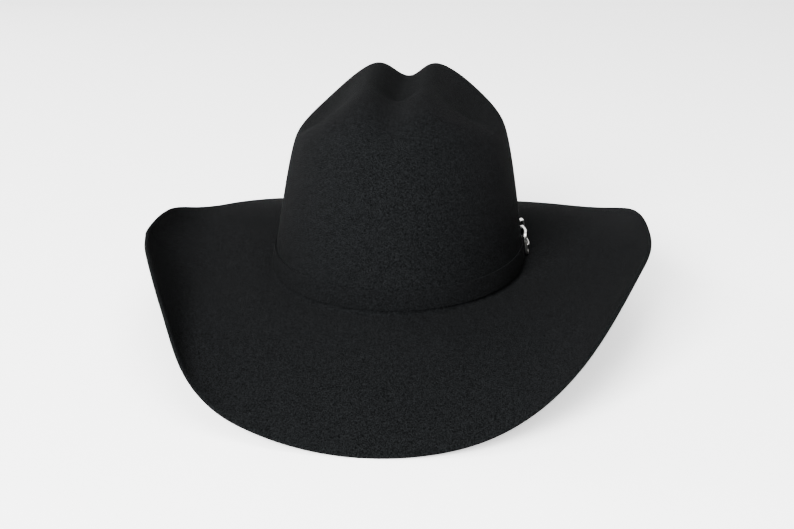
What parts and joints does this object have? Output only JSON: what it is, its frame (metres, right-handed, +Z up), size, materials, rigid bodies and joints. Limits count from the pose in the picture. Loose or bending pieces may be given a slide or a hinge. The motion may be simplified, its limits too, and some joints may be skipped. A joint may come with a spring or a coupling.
{
  "type": "cowboy hat",
  "caption": "Black fur-felt cowboy hat with a creased crown, rolled dipping brim, buckled felt band, leather sweatband and satin lining.",
  "frame": {"origin": "middle of the head opening, level with the break between brim and crown", "axes": "the wearer looks along -Y, +X is the wearer's left (buckle side), +Z is up towards the crown's top"},
  "size_m": [0.3415, 0.3861, 0.1676],
  "materials": {
    "felt": "matt fur felt",
    "band_felt": "matt felt strap",
    "buckle_metal": "polished",
    "thread": "sewing thread",
    "leather": "smooth sweatband leather",
    "reed": "moulded cord",
    "tape": "woven tape",
    "ribbon": "grosgrain ribbon",
    "satin": "satin lining",
    "clear_film": "clear film",
    "label": "blank woven label"
  },
  "bodies": {
    "hat": {"felt_body": "felt", "hat_band": "band_felt", "band_tip": "buckle_metal", "band_fold_stitches": "thread", "band_tack_stitches": "thread", "sweatband": "leather", "sweatband_reed": "reed", "reed_tape": "tape", "sweatband_stitches": "thread", "sweatband_seam_stitches": "thread", "sweatband_bow": "ribbon", "size_label": "label", "lining_side": "satin", "lining_tip": "satin", "lining_piping": "satin", "tip_shield": "clear_film"},
    "buckle": {"buckle_frame": "buckle_metal", "buckle_bar": "buckle_metal"},
    "prong": {"buckle_prong": "buckle_metal"},
    "keeper": {"band_keeper": "buckle_metal"}
  },
  "joints": [
    {"name": "buckle_tilt", "type": "hinge", "parent": "hat", "child": "buckle", "pos_m": [0.08477, 0.02025, 0.00782], "axis": [-0.1246, -0.0288, 0.9918], "range_deg": [0, 12]},
    {"name": "prong_swing", "type": "hinge", "parent": "buckle", "child": "prong", "pos_m": [0.08477, 0.02025, 0.00782], "axis": [-0.1246, -0.0288, 0.9918], "range_deg": [0, 40]},
    {"name": "keeper_slide", "type": "slide", "parent": "hat", "child": "keeper", "axis": [-0.2612, 0.9653, 0], "range_m": [-0.0035, 0.004]}
  ]
}
